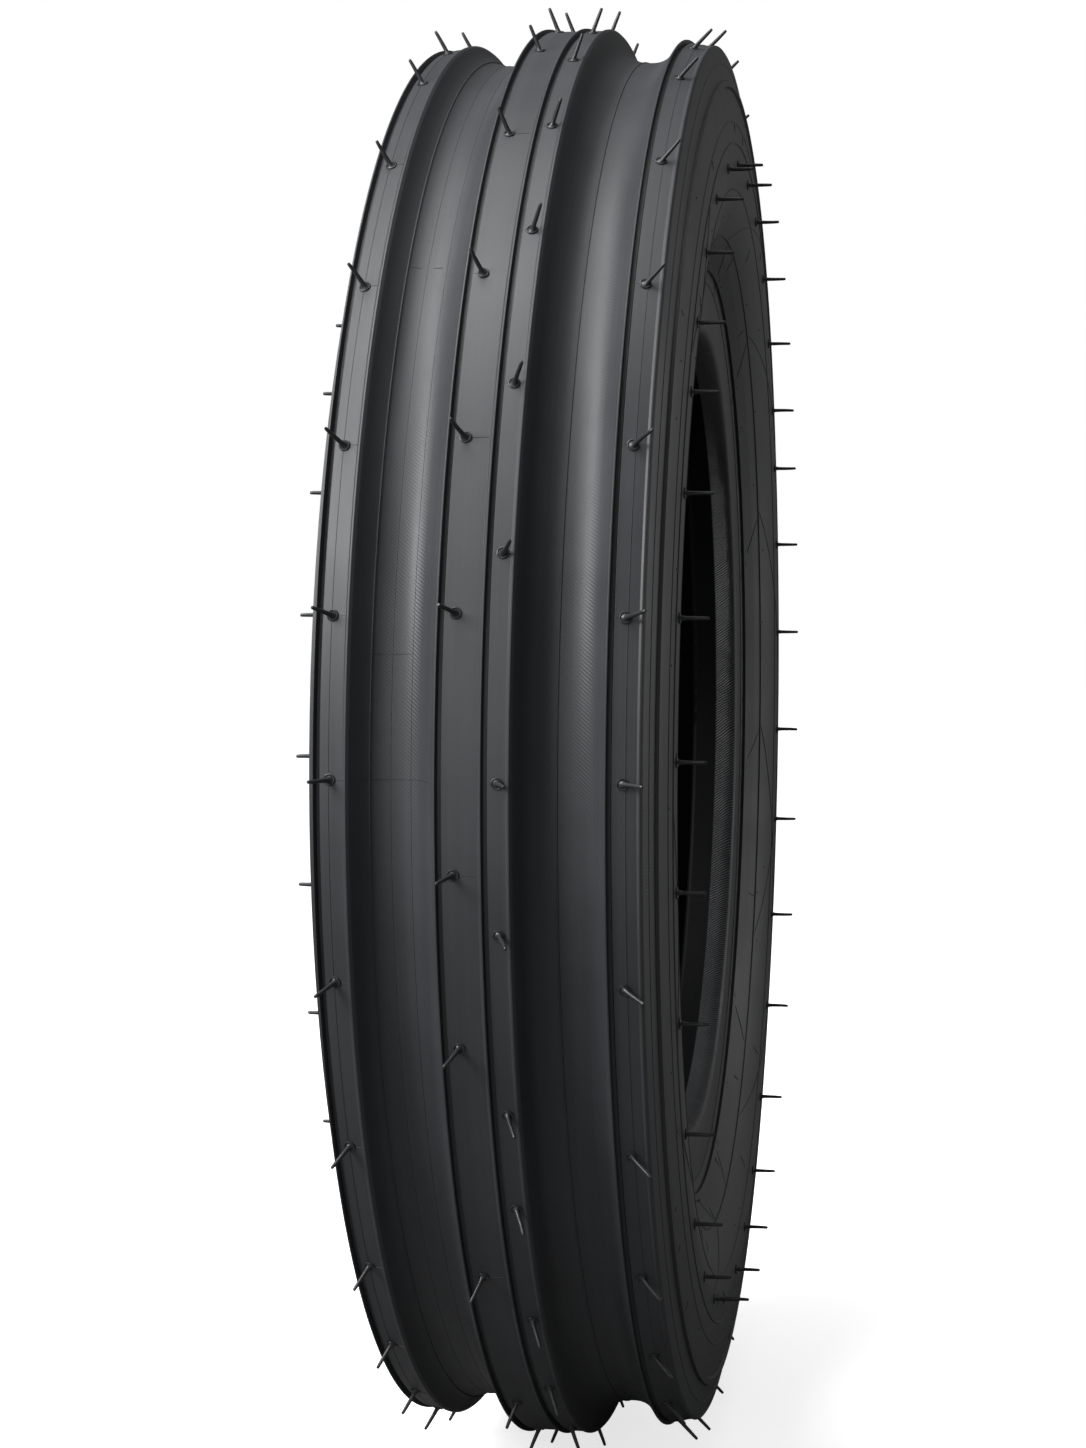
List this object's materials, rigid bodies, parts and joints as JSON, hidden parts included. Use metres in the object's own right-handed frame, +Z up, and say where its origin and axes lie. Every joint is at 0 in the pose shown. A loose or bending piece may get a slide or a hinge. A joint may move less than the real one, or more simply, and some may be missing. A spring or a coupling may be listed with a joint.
{
  "type": "tractor front tire",
  "caption": "Bare three-rib bias-ply tire for a small tractor's front wheel, with a raised centre rib, deep round-bottomed grooves, wire beads and vent hairs still on the new rubber.",
  "frame": {"origin": "middle of the tire, on the wheel axis and in the middle plane of the tread", "axes": "+Y along the wheel axis, from the left sidewall to the right one; +Z up; +X towards the side of the tread that faces the camera in the picture"},
  "size_m": [0.7334, 0.1756, 0.73],
  "materials": {
    "tread_rubber": "matt moulded rubber",
    "sidewall_rubber": "matt moulded rubber",
    "base_rubber": "matt rubber",
    "liner_rubber": "smooth rubber",
    "cord_fabric": "rubber-coated cord fabric",
    "chafer_fabric": "rubber-coated square-woven fabric",
    "bead_wire": "bronze-plated steel wire"
  },
  "bodies": {
    "root": {"tread_cap": "tread_rubber", "undertread": "base_rubber", "breaker_outer": "cord_fabric", "breaker_inner": "cord_fabric", "carcass_ply_outer": "cord_fabric", "carcass_ply_inner": "cord_fabric", "inner_liner": "liner_rubber", "sidewall_left": "sidewall_rubber", "sidewall_right": "sidewall_rubber", "bead_bundle_left": "bead_wire", "bead_bundle_right": "bead_wire", "bead_filler_left": "base_rubber", "bead_filler_right": "base_rubber", "flipper_left": "cord_fabric", "flipper_right": "cord_fabric", "rim_cushion_left": "base_rubber", "rim_cushion_right": "base_rubber", "chafer_left": "chafer_fabric", "chafer_right": "chafer_fabric", "vent_hairs_centre_rib": "tread_rubber", "vent_hairs_rib_left": "tread_rubber", "vent_hairs_rib_right": "tread_rubber", "vent_hairs_sidewall_left": "sidewall_rubber", "vent_hairs_sidewall_right": "sidewall_rubber"}
  },
  "joints": []
}
